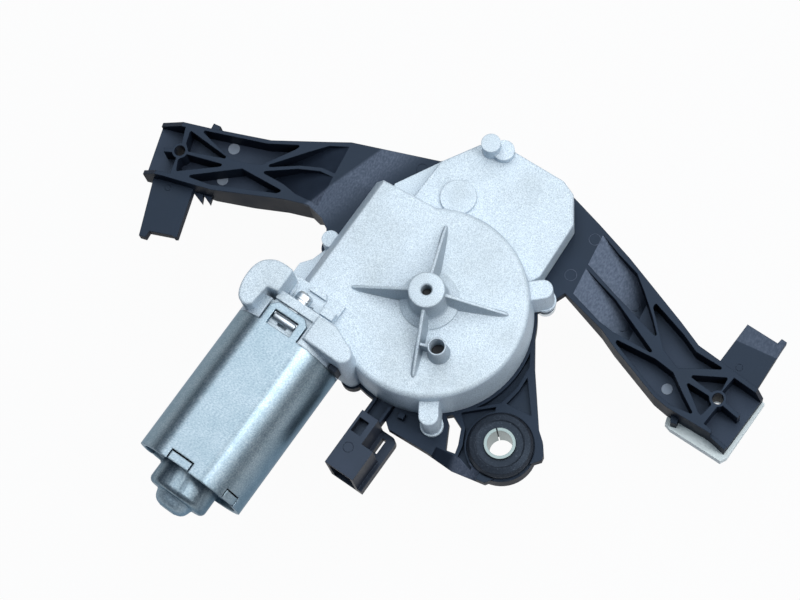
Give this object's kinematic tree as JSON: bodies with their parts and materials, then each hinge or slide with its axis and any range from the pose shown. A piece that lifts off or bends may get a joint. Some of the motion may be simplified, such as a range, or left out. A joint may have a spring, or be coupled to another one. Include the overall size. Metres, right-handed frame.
{
  "type": "wiper motor",
  "caption": "Rear wiper motor: die-cast worm gear housing, zinc-plated steel motor can, connector, tapered output shaft and ribbed plastic mounting bracket with a rubber grommet.",
  "frame": {"origin": "on the output shaft's axis, at the end face of its bearing tube", "axes": "+Z along the output shaft away from its free end, +X from the left arm's bolt hole to the right arm's, +Y away from the motor can"},
  "size_m": [0.2638, 0.1857, 0.0845],
  "materials": {
    "die_casting": "shot-blasted die casting, fine grain",
    "zinc_plate": "satin zinc plating, slightly mottled",
    "bright_zinc": "bright zinc plating",
    "filled_nylon": "glass-filled nylon, fine moulded grain",
    "connector_nylon": "moulded, slightly glossier than the bracket",
    "black_rubber": "matt rubber with a little bloom",
    "yellow_zinc": "yellowish zinc on rolled steel",
    "white_nylon": "natural nylon",
    "gear_nylon": "natural acetal",
    "ground_steel": "ground or turned steel",
    "sintered_steel": "sintered, lightly oiled",
    "sintered_bronze": "oil-soaked sintered bronze",
    "contact_brass": "stamped brass",
    "tinned_brass": "tin-plated blades",
    "copper": "enamelled wire and copper bars",
    "ferrite": "sintered ferrite",
    "laminations": "punched electrical steel",
    "brush_card": "phenolic moulding",
    "carbon": "copper-graphite block"
  },
  "bodies": {
    "root": {"gear_housing": "die_casting", "housing_gasket": "black_rubber", "cover_plate": "filled_nylon", "lead_frame": "contact_brass", "park_contacts": "contact_brass", "connector_shell": "connector_nylon", "connector_terminals": "tinned_brass", "mounting_bracket": "filled_nylon", "end_pad": "white_nylon", "rubber_grommet": "black_rubber", "grommet_sleeve": "yellow_zinc", "motor_can": "zinc_plate", "can_end_plate": "zinc_plate", "end_bearing": "sintered_bronze", "bearing_retainer": "bright_zinc", "can_magnets": "ferrite", "can_clips": "bright_zinc", "clamp_screws": "bright_zinc", "lock_washers": "bright_zinc", "flange_seal": "black_rubber", "brush_holder": "brush_card", "brushes": "carbon", "brush_springs": "bright_zinc", "chokes": "ferrite", "spindle_bushes": "sintered_bronze", "thrust_pads": "ground_steel", "wheel_axle": "ground_steel", "axle_retainer": "bright_zinc", "bearing_tube": "die_casting", "shaft_bushes": "sintered_bronze", "shaft_seal": "black_rubber", "tube_screws": "bright_zinc", "housing_screws": "bright_zinc"},
    "armature": {"armature_shaft": "ground_steel", "lamination_stack": "laminations", "armature_windings": "copper", "commutator": "copper"},
    "wheel": {"worm_wheel": "gear_nylon", "contact_ring": "contact_brass"},
    "output": {"output_shaft": "ground_steel", "output_pinion": "sintered_steel", "shaft_circlip": "bright_zinc"},
    "link": {"link_plate": "sintered_steel", "pivot_pin": "ground_steel", "pivot_clip": "bright_zinc"},
    "rod": {"sector_rod": "sintered_steel", "crank_pin": "ground_steel"}
  },
  "joints": [
    {"name": "armature_spin", "type": "hinge", "parent": "root", "child": "armature", "pos_m": [-0.04621, -0.04559, 0.038], "axis": [0.1444, 0.9895, 0], "continuous": true},
    {"name": "wheel_spin", "type": "hinge", "parent": "root", "child": "wheel", "pos_m": [-0.0098, -0.0509, 0.038], "axis": [0, 0, 1], "continuous": true},
    {"name": "output_turn", "type": "hinge", "parent": "root", "child": "output", "pos_m": [0, 0, 0.01], "axis": [0, 0, -1], "range_deg": [0, 117.1]},
    {"name": "link_swing", "type": "hinge", "parent": "root", "child": "link", "pos_m": [0, 0, 0.0276], "axis": [0, 0, -1], "range_deg": [0, 46.94]},
    {"name": "rod_swing", "type": "hinge", "parent": "link", "child": "rod", "pos_m": [-0.01624, -0.01447, 0.0305], "axis": [0, 0, -1], "range_deg": [-49.55, 0]}
  ],
  "couplings": [
    {"joint": "wheel_spin", "follows": "armature_spin", "ratio": 0.02},
    {"joint": "link_swing", "follows": "output_turn", "ratio": 0.40072},
    {"joint": "rod_swing", "follows": "output_turn", "ratio": -0.42302}
  ]
}
